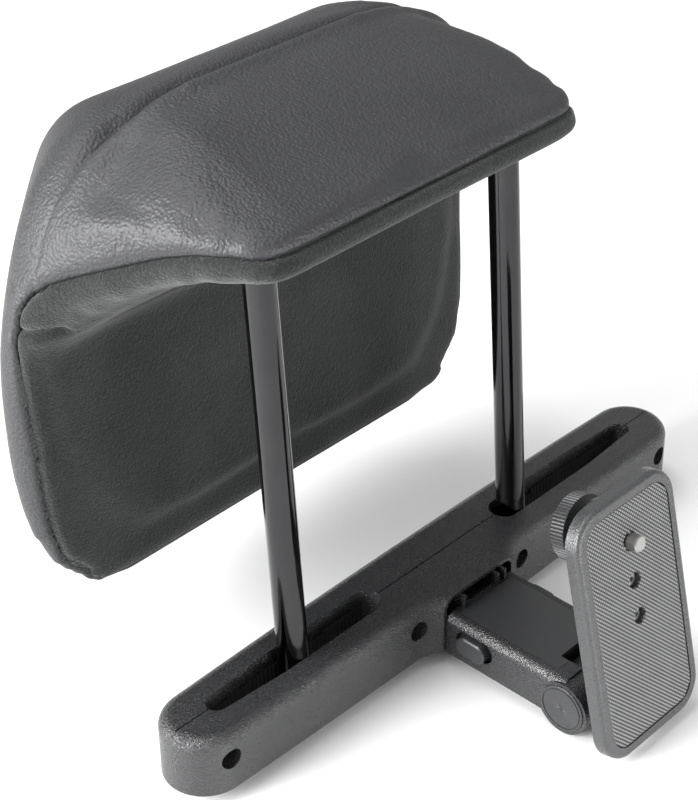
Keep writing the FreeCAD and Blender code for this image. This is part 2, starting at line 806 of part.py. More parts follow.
def head_front_outline(inset):
    """Outline seen from the front: broad flat top, rounded shoulders and lower corners."""
    w = head_half - inset
    low = pad_bottom + inset - 0.5
    top = crest_z - inset
    half = [
        (w * 0.62, low), (w * 0.90, low + 14), (w * 0.975, low + 34), (w, 108.0), (w * 0.975, 150.0),
        (w - 8.0, 170.0 - inset), (w - 14.0, 187.0 - inset), (w - 19.5, 198.0 - inset),
        (w - 27.0, 208.0 - inset), (w - 36.0, top - 5.0), (w - 48.0, top), (w * 0.33, top + 5.0),
    ]
    points = [V(x, 0, z) for x, z in half]
    mirrored = [V(-p.x, 0, p.z) for p in reversed(points)]
    edges = [smooth_curve(points + mirrored), line(mirrored[-1], points[0])]
    slab = face_of(edges).extrude(V(0, 4 * pad_front_y, 0))
    slab.translate(V(0, -pad_front_y, 0))
    return slab


def head_plan(inset):
    """Outline seen from above: a straight-sided flap that widens into the bowed pad."""
    w = head_half - inset
    f = flap_half - inset
    y0 = flap_front_y + inset
    y_face = pad_front_y - inset
    back = pad_back_y + inset
    front = [V(f - 15, y0, 0), V(f - 4, y0 + 4.5, 0), V(f, y0 + 14, 0)]
    half = [
        front[2], V(f + 4.0, 17.0, 0), V(f + 10.0, 37.0, 0), V(w - 20.0, back - 18.0, 0),
        V(w - 13.0, back - 3.0, 0), V(w - 3.5, back + 7.0, 0), V(w - 0.5, pad_back_y + 14.5, 0),
        V(w - 11.0, y_face - 31.3, 0), V(w - 26.0, y_face - 18.8, 0), V(w - 43.0, y_face - 9.5, 0),
        V(w - 68.0, y_face - 3.5, 0),
    ]
    middle = V(0, y_face, 0)
    mirrored = [V(-p.x, p.y, 0) for p in reversed(half)]
    left = [V(-p.x, p.y, 0) for p in reversed(front)]
    edges = [
        arc(*front),
        smooth_curve(half + [middle] + mirrored),
        arc(*left),
        line(left[-1], front[0]),
    ]
    return face_of(edges).extrude(V(0, 0, 2 * crest_z))


def shoulder_outline(inset, side):
    """Outline seen along the diagonal, which takes the corners off between front, side and top."""
    step = math.sqrt(0.5)
    half = [
        (100.0, pad_bottom - 4.0), (117.0, 37.0), (129.0, 46.0), (136.5, 57.0), (142.0, 69.0), (145.5, 84.0),
        (147.8, 108.0), (147.0, 134.0), (145.0, 152.0), (141.5, 170.0), (137.0, 187.0), (133.0, 197.5),
        (127.5, 207.5), (121.0, 214.5), (110.0, 221.0), (95.0, 226.5), (60.0, 231.0),
    ]
    points = [V(side * (u - inset) * step, (u - inset) * step, z) for u, z in half]
    far = V(-side * 300.0 * step, -300.0 * step, 0)
    edges = [
        smooth_curve(points),
        line(points[-1], far + Z_AXIS * points[-1].z),
        line(far + Z_AXIS * points[-1].z, far + Z_AXIS * points[0].z),
        line(far + Z_AXIS * points[0].z, points[0]),
    ]
    along = V(side, -1, 0) * 400.0
    slab = face_of(edges)
    slab.translate(along * -0.5)
    return slab.extrude(along)


def cushion(inset):
    """The whole upholstered shape, moved in by inset."""
    shape = head_profile(inset).common(head_front_outline(inset)).common(head_plan(inset))
    for side in (-1, 1):
        shape = shape.common(shoulder_outline(inset, side))
    return shape


def frame_plate():
    """Bent steel sheet: its flat part holds the posts, its long leg stiffens the pad."""
    leg_y = (pad_back_y + pad_front_y) / 2
    flat = box(-frame_half, frame_half, -3.0, leg_y + frame_t, frame_z, frame_z + frame_t)
    leg = box(-frame_half, frame_half, leg_y, leg_y + frame_t, frame_z - frame_drop, frame_z + frame_t)
    plate = fuse(flat, leg)
    for side in (-1, 1):
        plate = plate.cut(post(side, 0.02))
        for row in (0.35, 0.75):
            z = frame_z - frame_drop * row
            plate = plate.cut(rod(11.0, V(side * frame_half * 0.5, leg_y - over, z), Y_AXIS, frame_t + 2 * over))
    return plate


def post_collars():
    collars = []
    for side in (-1, 1):
        x = side * post_spacing / 2
        z = frame_z - collar_h
        at = V(x, lean_y(z), z)
        collars.append(rod(collar_r, at, Z_AXIS, collar_h).cut(post(side, 0.02)))
    return collars


def head_pieces():
    """Foam of pad and flap, and the cover as separate leather and suede panels."""
    outer = cushion(0.0)
    core = cushion(cover_t)
    steel = [frame_plate(), post(-1, hole_gap), post(1, hole_gap)] + post_collars()
    reach = 4 * head_half
    far = 2 * crest_z
    flap_zone = box(-reach, reach, -far, groove_y, hollow_z - 8.0, far)
    skin = cut(outer, core, post(-1, hole_gap), post(1, hole_gap))
    suede_zone = suede_side_zone()
    suede = skin.common(suede_zone)
    seam = box(-reach, reach, groove_y - seam_gap / 2, groove_y + seam_gap / 2, flap_under + 5.0, far)
    leather = cut(skin, suede_zone, seam)
    bend = hollow_z + 9.0
    return {
        "pad_foam": biggest(cut(core, flap_zone, *steel)),
        "flap_foam": biggest(cut(core.common(flap_zone), *steel)),
        "suede_back_panel": biggest(suede.common(box(-reach, reach, -far, far, 0, bend))),
        "suede_flap_band": biggest(suede.common(box(-reach, reach, -far, far, bend, far))),
        "leather_top_panel": biggest(leather.common(flap_zone)),
        "leather_front_cover": biggest(leather.cut(flap_zone)),
    }


def suede_side_zone():
    """Everything below the side seam: flap band, underside and back panel."""
    reach = 4 * head_half
    rim = flap_lip_z - 2.0
    start = V(0, pad_back_y - 3 * head_half, 0)
    corner = back_plane(seam_inset, hollow_z + 9.0)
    front = V(0, flap_front_y + 4, rim)
    edges = [
        line(start, back_plane(seam_inset, 0)),
        line(back_plane(seam_inset, 0), corner),
        smooth_curve([
            corner,
            V(0, hollow_mid_y + 24.0, hollow_mid_z + 0.5),
            V(0, hollow_mid_y + 9.0, hollow_mid_z + 10.5),
            V(0, hollow_mid_y - 11.0, hollow_mid_z + 19.5),
            V(0, hollow_mid_y - 36.0, rim - 3.5),
            front,
        ]),
        line(front, V(0, start.y, rim)),
        line(V(0, start.y, rim), start),
    ]
    zone = face_of(edges).extrude(V(2 * reach, 0, 0))
    zone.translate(V(-reach, 0, 0))
    return zone


def biggest(shape):
    """The main solid of a cut, without slivers."""
    solids = sorted(shape.Solids, key=lambda s: s.Volume)
    return solids[-1]


# ---- build ---------------------------------------------------------------------------------------
def on_bar(solids):
    """Moves pieces from the bar's own frame to the part's frame."""
    parts = solids if isinstance(solids, (list, tuple)) else [solids]
    moved = []
    for part in parts:
        part = part.copy()
        part.translate(bar_place)
        moved.append(part)
    return moved


os.makedirs("parts", exist_ok=True)

front_half, rear_half = bar_halves()
save("bar_front_half", on_bar(front_half))
save("bar_rear_half", on_bar(rear_half))
front_grip, rear_grip = grips()
for label, grip in (("front", front_grip), ("rear", rear_grip)):
    right_grip, left_grip = both_sides(grip)
    save("grip_strip_" + label + "_left", on_bar(left_grip))
    save("grip_strip_" + label + "_right", on_bar(right_grip))
save("clamp_screws", on_bar(clamp_screws()))
save("clamp_nuts", on_bar(clamp_nuts()))

save("arm_shell", on_bar(arm_shell()))
save("arm_top_lid", on_bar(lid_recess(0.12)))
save("arm_base_cover", on_bar(arm_base_cover()))
save("base_cover_screws", on_bar(base_screws()))
save("hinge_bolt", on_bar(hinge_bolt()))
save("hinge_nut", on_bar(hinge_nut()))
save("friction_washers", on_bar(friction_washers()))
for name, maker in (("hinge_cap", left_cap), ("release_button", left_button), ("button_spring", left_spring)):
    left, right = both_sides(maker())
    save("left_" + name, on_bar(left))
    save("right_" + name, on_bar(right))

plate_pieces = {
    "plate_body": plate_body(),
    "rubber_pad": rubber_pad(),
    "plate_bracket": bracket(),
    "thumb_wheel": thumb_wheel(),
    "camera_screw": camera_screw(),
    "screw_clip": stud_clip(),
}
for name, solid in plate_pieces.items():
    save(name, on_bar(stand_plate(solid)))
save("bracket_screws", on_bar([stand_plate(s) for s in bracket_screws()]))

save("left_post", post(-1))
save("right_post", post(1))
save("frame_plate", frame_plate())
save("post_collars", post_collars())
for name, solid in head_pieces().items():
    save(name, solid)
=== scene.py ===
import json
import math

import bmesh
import bpy
from mathutils import Matrix, Vector
from mathutils.bvhtree import BVHTree


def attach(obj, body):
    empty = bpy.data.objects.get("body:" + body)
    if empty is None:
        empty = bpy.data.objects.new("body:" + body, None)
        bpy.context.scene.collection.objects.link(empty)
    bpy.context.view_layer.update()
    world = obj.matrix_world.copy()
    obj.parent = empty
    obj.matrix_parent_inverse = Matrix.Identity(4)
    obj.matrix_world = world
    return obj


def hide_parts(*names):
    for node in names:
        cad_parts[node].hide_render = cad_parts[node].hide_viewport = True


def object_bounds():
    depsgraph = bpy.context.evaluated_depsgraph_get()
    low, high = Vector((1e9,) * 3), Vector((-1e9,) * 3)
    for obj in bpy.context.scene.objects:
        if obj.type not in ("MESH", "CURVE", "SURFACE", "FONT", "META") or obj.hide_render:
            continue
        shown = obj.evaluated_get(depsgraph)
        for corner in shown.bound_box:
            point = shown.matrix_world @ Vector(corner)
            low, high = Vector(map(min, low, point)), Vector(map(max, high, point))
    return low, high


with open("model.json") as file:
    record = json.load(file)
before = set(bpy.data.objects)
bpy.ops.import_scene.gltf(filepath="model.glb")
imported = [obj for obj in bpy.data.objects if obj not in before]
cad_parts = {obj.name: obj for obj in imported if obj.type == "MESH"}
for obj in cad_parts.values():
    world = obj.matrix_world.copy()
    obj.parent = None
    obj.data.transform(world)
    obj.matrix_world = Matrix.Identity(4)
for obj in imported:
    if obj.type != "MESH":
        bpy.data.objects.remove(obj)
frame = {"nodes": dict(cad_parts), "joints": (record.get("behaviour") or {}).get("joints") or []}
cad_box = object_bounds()

# ---- Clamp bar -----------------------------------------------------------------------------------
# Two long halves of glass-filled nylon, moulded with a fine leather-like grain and screwed
# together around the posts.


class Wire:
    """A shader socket that takes part in sums like a number."""

    def __init__(self, tree, socket=None):
        self.tree = tree
        self.socket = socket

    def node(self, kind, settings=None, sockets=None, out=0):
        made = self.tree.nodes.new(kind)
        for key, value in (settings or {}).items():
            setattr(made, key, value)
        for key, value in (sockets or {}).items():
            if isinstance(value, Wire):
                self.tree.links.new(value.socket, made.inputs[key])
            else:
                made.inputs[key].default_value = value
        return Wire(self.tree, made.outputs[out])

    def maths(self, operation, *values):
        return self.node("ShaderNodeMath", {"operation": operation}, dict(enumerate(values)))

    def __add__(self, other):
        return self.maths("ADD", self, other)

    def __sub__(self, other):
        return self.maths("SUBTRACT", self, other)

    def __rsub__(self, other):
        return self.maths("SUBTRACT", other, self)

    def __mul__(self, other):
        return self.maths("MULTIPLY", self, other)

    def clamp(self):
        return self.node("ShaderNodeClamp", {}, {"Value": self})


def finish(name, **constants):
    """A new material, its tree as a Wire, and a function that feeds its shader."""
    material = bpy.data.materials.new(name)
    material.use_nodes = True
    tree = material.node_tree
    shader = tree.nodes["Principled BSDF"]
    for key, value in constants.items():
        shader.inputs[key.replace("_", " ")].default_value = value
    return material, Wire(tree), lambda socket, wire: tree.links.new(wire.socket, shader.inputs[socket])


def place_of(wire):
    return wire.node("ShaderNodeTexCoord", {}, {}, "Object")


def noise(wire, place, size, detail=3.0, rough=0.55):
    sockets = {"Vector": place, "Scale": 1 / size, "Detail": detail, "Roughness": rough}
    return wire.node("ShaderNodeTexNoise", {}, sockets, "Fac")


def cells(wire, place, size, feature="F1"):
    sockets = {"Vector": place, "Scale": 1 / size}
    return wire.node("ShaderNodeTexVoronoi", {"feature": feature}, sockets, "Distance")


def shake(wire, place, size, amount):
    """The place moved about by a soft noise, so that a pattern on it isn't regular."""
    sockets = {"Vector": place, "Scale": 1 / size, "Detail": 2.0}
    tint = wire.node("ShaderNodeTexNoise", {}, sockets, "Color")
    centred = wire.node("ShaderNodeVectorMath", {"operation": "SUBTRACT"}, {0: tint, 1: (0.5, 0.5, 0.5)})
    scaled = wire.node("ShaderNodeVectorMath", {"operation": "SCALE"}, {0: centred, "Scale": amount})
    return wire.node("ShaderNodeVectorMath", {"operation": "ADD"}, {0: place, 1: scaled})


def blend_tones(wire, factor, dark, light):
    sockets = {"Factor": factor, 6: (*dark, 1), 7: (*light, 1)}
    return wire.node("ShaderNodeMix", {"data_type": "RGBA"}, sockets, 2)


def bump(wire, height, distance):
    return wire.node("ShaderNodeBump", {}, {"Height": height, "Distance": distance})


def moulded(name, dark, light, grain, depth, rough):
    """Moulded plastic with an etched grain, grain metres across."""
    material, wire, feed = finish(name, Specular_IOR_Level=0.8)
    place = place_of(wire)
    loose = shake(wire, place, grain * 1.6, grain * 0.9)
    worm = noise(wire, loose, grain, 2.0, 0.5)
    pits = cells(wire, loose, grain * 0.8)
    height = worm * 0.75 + pits * 0.5
    wide = noise(wire, place, 0.03, 3.0)
    feed("Base Color", blend_tones(wire, (worm * 0.7 + wide * 0.5 - 0.1).clamp(), dark, light))
    feed("Roughness", (wide - 0.5) * 0.12 + (worm - 0.5) * 0.25 + rough)
    feed("Normal", bump(wire, height, depth))
    return material


def dress(material, *nodes):
    for name in nodes:
        for place in frame["nodes"][name].material_slots:
            place.material = material


bar_plastic = moulded("moulded_bar", (0.005, 0.005, 0.006), (0.022, 0.023, 0.025),
                      0.00070, 0.00050, 0.24)
dress(bar_plastic, "bar_front_half", "bar_rear_half")

# ---- Grips, screws and nuts of the bar -----------------------------------------------------------
# Four ribbed rubber strips line the slots, and four socket-head screws pull the halves
# together. The steel is zinc plated and blackened, but the screws in the plate stay bright.

grip_rubber, wire, feed = finish("black_grip", Roughness=0.7)
place = place_of(wire)
ribs = wire.node("ShaderNodeTexWave", {"wave_type": "BANDS", "bands_direction": "X"},
                 {"Vector": place, "Scale": 150.0}, "Fac")
mottle = noise(wire, place, 0.004)
feed("Base Color", blend_tones(wire, mottle, (0.010, 0.010, 0.010), (0.025, 0.025, 0.026)))
feed("Normal", bump(wire, ribs, 0.0004))
dress(grip_rubber, "grip_strip_front_left", "grip_strip_front_right",
      "grip_strip_rear_left", "grip_strip_rear_right")


def metal(name, tone, rough):
    """Turned or drawn metal with faint scratches."""
    scratch = 0.10
    material, wire, feed = finish(name, Metallic=1.0)
    place = place_of(wire)
    scuff = noise(wire, place, 0.0012, 4.0, 0.6)
    haze = noise(wire, place, 0.012, 2.0)
    feed("Base Color", blend_tones(wire, haze, tuple(c * 0.8 for c in tone), tone))
    feed("Roughness", (scuff - 0.5) * scratch + (haze - 0.5) * scratch + rough)
    return material


black_steel = metal("blackened_steel", (0.10, 0.10, 0.10), 0.42)
bright_steel = metal("plated_steel", (0.44, 0.43, 0.42), 0.30)
dress(black_steel, "clamp_screws", "clamp_nuts", "base_cover_screws", "hinge_bolt", "hinge_nut",
      "left_button_spring", "right_button_spring", "screw_clip")
dress(bright_steel, "camera_screw", "bracket_screws")

# ---- Arm -----------------------------------------------------------------------------------------
# A hollow nylon box that plugs into the bar's neck, with the same etched grain on its sides.
# Its inlaid lid and the round hinge caps are nearly smooth.

arm_plastic = moulded("moulded_arm", (0.007, 0.007, 0.008), (0.018, 0.019, 0.021),
                      0.00060, 0.00030, 0.27)
smooth_plastic = moulded("smooth_lid", (0.016, 0.017, 0.018), (0.027, 0.028, 0.030),
                         0.00035, 0.00004, 0.34)
dress(arm_plastic, "arm_shell", "arm_base_cover", "plate_bracket")
dress(smooth_plastic, "arm_top_lid", "left_release_button", "right_release_button")
washer_plastic = moulded("acetal_washer", (0.40, 0.40, 0.38), (0.52, 0.52, 0.50),
                         0.0008, 0.00002, 0.40)
dress(washer_plastic, "friction_washers")

cap_plastic, wire, feed = finish("turned_cap", Specular_IOR_Level=0.5)
place = place_of(wire)
hinge = next(j for j in frame["joints"] if j["name"] == "plate_tilt")["pos_m"]
centred = wire.node("ShaderNodeMapping", {"vector_type": "POINT"},
                    {"Vector": place, "Location": [-c for c in hinge]})
across = wire.node("ShaderNodeSeparateXYZ", {}, {"Vector": centred}, "Y")
upward = Wire(across.tree, across.socket.node.outputs["Z"])
rays_round_cap = 34.0
rays = wire.maths("SINE", wire.maths("ARCTAN2", upward, across) * rays_round_cap)
mottle = noise(wire, place, 0.006)
feed("Base Color", blend_tones(wire, mottle, (0.022, 0.023, 0.025), (0.046, 0.047, 0.050)))
feed("Roughness", (noise(wire, place, 0.0011, 4.0) - 0.5) * 0.3 + 0.36)
feed("Normal", bump(wire, rays * 0.5 + noise(wire, place, 0.0006, 3.0), 0.00006))
dress(cap_plastic, "left_hinge_cap", "right_hinge_cap")

# ---- Device plate --------------------------------------------------------------------------------
# A moulded tray with a rubber pad let into its face. The pad has rows of small pyramids that
# cross on the diagonal, and holes for the camera screw and the two bracket screws.

plate_plastic = moulded("moulded_plate", (0.024, 0.025, 0.026), (0.055, 0.057, 0.059),
                        0.00060, 0.00020, 0.30)
dress(plate_plastic, "plate_body")

pad_tilt = math.radians(13.2)
pad_width, pad_height, pad_corner = 0.0476, 0.0931, 0.0085
pad_depth, rib_pitch, rib_depth = 0.0013, 0.00128, 0.00055
stud_up, screw_up, screw_low = 0.0313, 0.0150, 0.0002
stud_hole_r, screw_hole_r, hole_reach = 0.0038, 0.0033, 0.0016
pad_from_hinge = (0, -0.0273, 0.0372)
corner_cuts, hole_cuts = 8, 24
rib_rows = 92
weld = 0.00001

ribbed = bmesh.new()
bmesh.ops.create_grid(ribbed, x_segments=rib_rows, y_segments=rib_rows, size=rib_rows * rib_pitch / 2)
diagonal = Matrix.Rotation(math.radians(45), 3, "Z")
bmesh.ops.rotate(ribbed, verts=ribbed.verts, cent=(0, 0, 0), matrix=diagonal)


def trim(shape, point, outward, faces=None):
    """Cuts away what lies beyond a plane, or only cuts faces along it."""
    pool = shape.faces[:] if faces is None else faces
    verts = list(dict.fromkeys(v for f in pool for v in f.verts))
    edges = list(dict.fromkeys(e for f in pool for e in f.edges))
    bmesh.ops.bisect_plane(shape, geom=verts + edges + pool, plane_co=point, plane_no=outward,
                           clear_outer=faces is None)


for sign in (-1, 1):
    trim(ribbed, (sign * pad_width / 2, 0, 0), (sign, 0, 0))
    trim(ribbed, (0, sign * pad_height / 2, 0), (0, sign, 0))
for vert in ribbed.verts:
    vert.co.z = -rib_depth
# Marks the pyramids' tips. The pad's colour later paints highlights on them and shade in the valleys
# between them.
tip = ribbed.verts.layers.float.new("tip")
for vert in bmesh.ops.poke(ribbed, faces=ribbed.faces[:], offset=rib_depth)["verts"]:
    vert[tip] = 1.0
for sx in (-1, 1):
    for sy in (-1, 1):
        middle = Vector((sx * (pad_width / 2 - pad_corner), sy * (pad_height / 2 - pad_corner), 0))
        for step in range(corner_cuts):
            turn = math.radians(90 * (step + 0.5) / corner_cuts)
            away = Vector((sx * math.cos(turn), sy * math.sin(turn), 0))
            trim(ribbed, middle + away * pad_corner, away)
for up, radius in ((stud_up, stud_hole_r), (screw_up, screw_hole_r), (screw_low, screw_hole_r)):
    middle = Vector((0, up, 0))
    for step in range(hole_cuts):
        turn = math.radians(360 * (step + 0.5) / hole_cuts)
        away = Vector((math.cos(turn), math.sin(turn), 0))
        edge = middle + away * radius
        near = [f for f in ribbed.faces if (f.calc_center_median() - edge).length < hole_reach]
        trim(ribbed, edge, away, near)
    inside = [f for f in ribbed.faces if (f.calc_center_median() - middle).xy.length < radius]
    bmesh.ops.delete(ribbed, geom=inside, context="FACES")
rim = [e for e in ribbed.edges if e.is_boundary]
wall = bmesh.ops.extrude_edge_only(ribbed, edges=rim)
dropped = [g for g in wall["geom"] if isinstance(g, bmesh.types.BMVert)]
for vert in dropped:
    vert.co.z = -pad_depth
bmesh.ops.remove_doubles(ribbed, verts=ribbed.verts, dist=weld)
bmesh.ops.recalc_face_normals(ribbed, faces=ribbed.faces)
stand = Matrix.Rotation(math.radians(90), 4, "X")
lean_back = Matrix.Rotation(-pad_tilt, 4, "X")
onto_hinge = Matrix.Translation(hinge) @ lean_back @ Matrix.Translation(pad_from_hinge) @ stand
bmesh.ops.transform(ribbed, matrix=onto_hinge, verts=ribbed.verts)


def keep_piece(shape, name, material, smooth=True):
    """Turns a bmesh into a named object at the origin with one material."""
    mesh = bpy.data.meshes.new(name)
    shape.to_mesh(mesh)
    shape.free()
    mesh.materials.append(material)
    for face in mesh.polygons:
        face.use_smooth = smooth
    piece = bpy.data.objects.new(name, mesh)
    bpy.context.scene.collection.objects.link(piece)
    return piece


pad_rubber, wire, feed = finish("ribbed_rubber", Specular_IOR_Level=0.5)
place = place_of(wire)
tip = wire.node("ShaderNodeAttribute", {"attribute_name": "tip"}, {}, "Fac")
# Painted light and shade: the pyramids' tips get a painted highlight and the valleys between them
# painted shade, with a little random tone on top.
painted_tip_light = (tip * 1.7 - 0.35 + noise(wire, place, 0.008) * 0.2).clamp()
feed("Base Color", blend_tones(wire, painted_tip_light, (0.016, 0.016, 0.017), (0.430, 0.435, 0.435)))
feed("Roughness", noise(wire, place, 0.0009, 3.0) * 0.25 + 0.34)
feed("Normal", bump(wire, noise(wire, place, 0.0004, 3.0), 0.00003))
pad_piece = keep_piece(ribbed, "ribbed_pad", pad_rubber, smooth=False)
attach(pad_piece, "device_plate")
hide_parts("rubber_pad")

# ---- Thumb wheel ---------------------------------------------------------------------------------
# A black moulded wheel with a straight knurl, behind the plate. It is pressed onto the
# quarter-inch screw and turns with it.

wheel_plastic = moulded("moulded_wheel", (0.016, 0.016, 0.017), (0.040, 0.041, 0.043),
                        0.00050, 0.00010, 0.40)
dress(wheel_plastic, "thumb_wheel")

# ---- Posts and frame -----------------------------------------------------------------------------
# Solid steel posts with a black chrome finish, held in collars on a bent steel sheet that is
# painted black and buried in the foam.

black_chrome, wire, feed = finish("black_chrome", Metallic=1.0, Coat_Weight=0.45, Coat_Roughness=0.05)
place = place_of(wire)
streak = wire.node("ShaderNodeMapping", {}, {"Vector": place, "Scale": (1.0, 1.0, 0.06)})
draw = noise(wire, streak, 0.0015, 3.0)
haze = noise(wire, place, 0.02)
feed("Base Color", blend_tones(wire, haze, (0.026, 0.026, 0.028), (0.040, 0.040, 0.042)))
feed("Roughness", (draw - 0.5) * 0.06 + 0.16)
dress(black_chrome, "left_post", "right_post")
paint = moulded("black_paint", (0.02, 0.02, 0.02), (0.03, 0.03, 0.03), 0.001, 0.00002, 0.4)
dress(paint, "frame_plate", "post_collars")

# ---- Cushion -------------------------------------------------------------------------------------
# Moulded foam pulled tight in a sewn cover: grained leather over the top, front and sides, and
# brushed suede on the band around the flap, its underside and the back. The cover is sewn
# along one seam that follows the flap's lip and the edge of the back, and along a top seam.

voxel = 0.004
post_x, plug_spread, plug_foot = 0.06365, 1.12, 0.1925

foam = bmesh.new()
for name in ("pad_foam", "flap_foam", "frame_plate", "post_collars"):
    foam.from_mesh(frame["nodes"][name].data)
# The posts' upper ends, a little widened, close the holes that they leave in the foam.
for name, from_post in (("left_post", post_x), ("right_post", -post_x)):
    plug = bmesh.new()
    plug.from_mesh(frame["nodes"][name].data)
    bmesh.ops.remove_doubles(plug, verts=plug.verts, dist=weld)
    bmesh.ops.scale(plug, vec=(plug_spread, 1.0, 1.0), verts=plug.verts,
                    space=Matrix.Translation((from_post, 0, 0)))
    bmesh.ops.bisect_plane(plug, geom=plug.verts[:] + plug.edges[:] + plug.faces[:],
                           plane_co=(0, 0, plug_foot), plane_no=(0, 0, 1), clear_inner=True)
    bmesh.ops.holes_fill(plug, edges=[e for e in plug.edges if e.is_boundary])
    spare = bpy.data.meshes.new("plug")
    plug.to_mesh(spare)
    plug.free()
    foam.from_mesh(spare)
bmesh.ops.remove_doubles(foam, verts=foam.verts, dist=weld)
core = keep_piece(foam, "core", paint)


def applied(piece, kind, **settings):
    """Adds one modifier and keeps its result as the mesh."""
    modifier = piece.modifiers.new(kind.lower(), kind)
    for key, value in settings.items():
        setattr(modifier, key, value)
    bpy.context.view_layer.update()
    finished = piece.evaluated_get(bpy.context.evaluated_depsgraph_get())
    result = bpy.data.meshes.new_from_object(finished)
    piece.modifiers.clear()
    piece.data = result


applied(core, "REMESH", mode="VOXEL", voxel_size=voxel)


def main_shell(shape):
    """Drops every loose shell but the largest."""
    left = set(shape.faces)
    best = []
    while left:
        seed = left.pop()
        shell, queue = [seed], [seed]
        while queue:
            for edge in queue.pop().edges:
                for face in edge.link_faces:
                    if face in left:
                        left.remove(face)
                        shell.append(face)
                        queue.append(face)
        best = shell if len(shell) > len(best) else best
    kept = set(best)
    bmesh.ops.delete(shape, geom=[f for f in shape.faces if f not in kept], context="FACES")


smoothing_passes = 4
shape = bmesh.new()
shape.from_mesh(core.data)
main_shell(shape)
for step in range(smoothing_passes):
    bmesh.ops.smooth_vert(shape, verts=shape.verts, factor=0.5,
                          use_axis_x=True, use_axis_y=True, use_axis_z=True)
shape.to_mesh(core.data)
shape.free()


def ramp(value, low, high):
    """Rises from 0 at low to 1 at high, and stays there."""
    return min(1.0, max(0.0, (value - low) / (high - low)))


# The top edges of the flap's two ends are drawn down by the cover.
end_drop = 0.0042
for vert in core.data.vertices:
    beside = ramp(abs(vert.co.x), 0.062, 0.084) * ramp(-vert.co.y, -0.070, -0.058)
    vert.co.z -= end_drop * beside * ramp(vert.co.z, 0.200, 0.210)

# Pressure from inside fills the cover out. Its movement is held between a least and a most.
least_swell, swell, quick_swell = 0.0020, 0.0045, 0.0022
most_share, most_slip, tiny = 0.4, 0.0015, 0.0001
last_frame = 20
start = [v.co.copy() for v in core.data.vertices]
outward = [v.normal.copy() for v in core.data.vertices]
cloth = core.modifiers.new("cloth", "CLOTH")
cloth.settings.use_pressure = True
cloth.settings.uniform_pressure_force = 4.0
cloth.settings.effector_weights.gravity = 0.0
cloth.settings.tension_stiffness = 25.0
cloth.settings.bending_stiffness = 2.0
cloth.point_cache.frame_start = 1
cloth.point_cache.frame_end = last_frame
for number in range(1, last_frame + 1):
    bpy.context.scene.frame_set(number)
puffed = core.evaluated_get(bpy.context.evaluated_depsgraph_get()).data
moves = [v.co - s for v, s in zip(puffed.vertices, start)]
core.modifiers.clear()
for vert, move, origin, normal in zip(core.data.vertices, moves, start, outward):
    out = move.dot(normal)
    along = move - normal * out
    share = min(most_share, most_slip / max(along.length, tiny))
    vert.co = origin + normal * min(swell, max(least_swell, out)) + along * share
bpy.context.scene.frame_set(1)
applied(core, "SUBSURF", levels=1, render_levels=1)

# The sewn seam, seen from the side: along the flap's lip, round the hollow under it and down
# the edge of the back panel. Leather lies above and behind it, suede below and before it.
seam_path = [
    (-0.060, 0.2022), (-0.009, 0.2020), (0.003, 0.2012), (0.015, 0.1988), (0.027, 0.1948),
    (0.040, 0.1890), (0.050, 0.1845), (0.060, 0.1800), (0.068, 0.1758), (0.0745, 0.1705),
    (0.0783, 0.1642), (0.0795, 0.1560), (0.0786, 0.1400), (0.0684, -0.020),
]


def seam_at(y, z):
    """Signed distance to the seam, positive above and behind it."""
    nearest = 9.0
    for (ay, az), (by, bz) in zip(seam_path, seam_path[1:]):
        dy, dz = by - ay, bz - az
        t = ramp((y - ay) * dy + (z - az) * dz, 0.0, dy * dy + dz * dz)
        gap = math.hypot(y - ay - t * dy, z - az - t * dz)
        if gap < abs(nearest):
            nearest = math.copysign(gap, dy * (z - az) - dz * (y - ay))
    return nearest


far_side = 0.30
seam_cutter = bmesh.new()
outline = seam_path + [(-0.060, -0.020)]
side_face = seam_cutter.faces.new([seam_cutter.verts.new((-far_side, y, z)) for y, z in outline])
swept = bmesh.ops.extrude_face_region(seam_cutter, geom=[side_face])["geom"]
moved = [g for g in swept if isinstance(g, bmesh.types.BMVert)]
bmesh.ops.translate(seam_cutter, vec=(2 * far_side, 0, 0), verts=moved)
bmesh.ops.recalc_face_normals(seam_cutter, faces=seam_cutter.faces)
suede_side = keep_piece(seam_cutter, "suede_side", paint)

core_skin = BVHTree.FromPolygons([v.co for v in core.data.vertices],
                                 [p.vertices[:] for p in core.data.polygons])
top_seam_y, top_from = 0.073, 0.17


def near_seam(vert):
    """How far a point is from the nearest sewn seam."""
    in_back_panel = abs(vert.co.x) < 0.092 and 0.060 < vert.co.z < 0.150
    if in_back_panel:
        return 1.0
    top = abs(vert.co.y - top_seam_y) if vert.co.z > top_from else 1.0
    return min(abs(seam_at(vert.co.y, vert.co.z)), top)


def hump(distance, width):
    """A soft hump, 1 where the distance is 0."""
    return math.exp(-((distance / width) ** 2))


crease_depth, crease_width = 0.0017, 0.0009
puff_height, puff_place, puff_width = 0.0008, 0.005, 0.0032
roll_height, roll_width = 0.0013, 0.011
fold_depth, fold_width, fold_z = 0.0026, 0.0016, 0.157
fold_slope, fold_half = 0.10, 0.100
groove_depth, groove_front, groove_behind = 0.0075, 0.0026, 0.0048
stitch_depth, stitch_width = 0.0013, 0.0010
lip_height, lip_place, lip_width = 0.0018, 0.0060, 0.0030


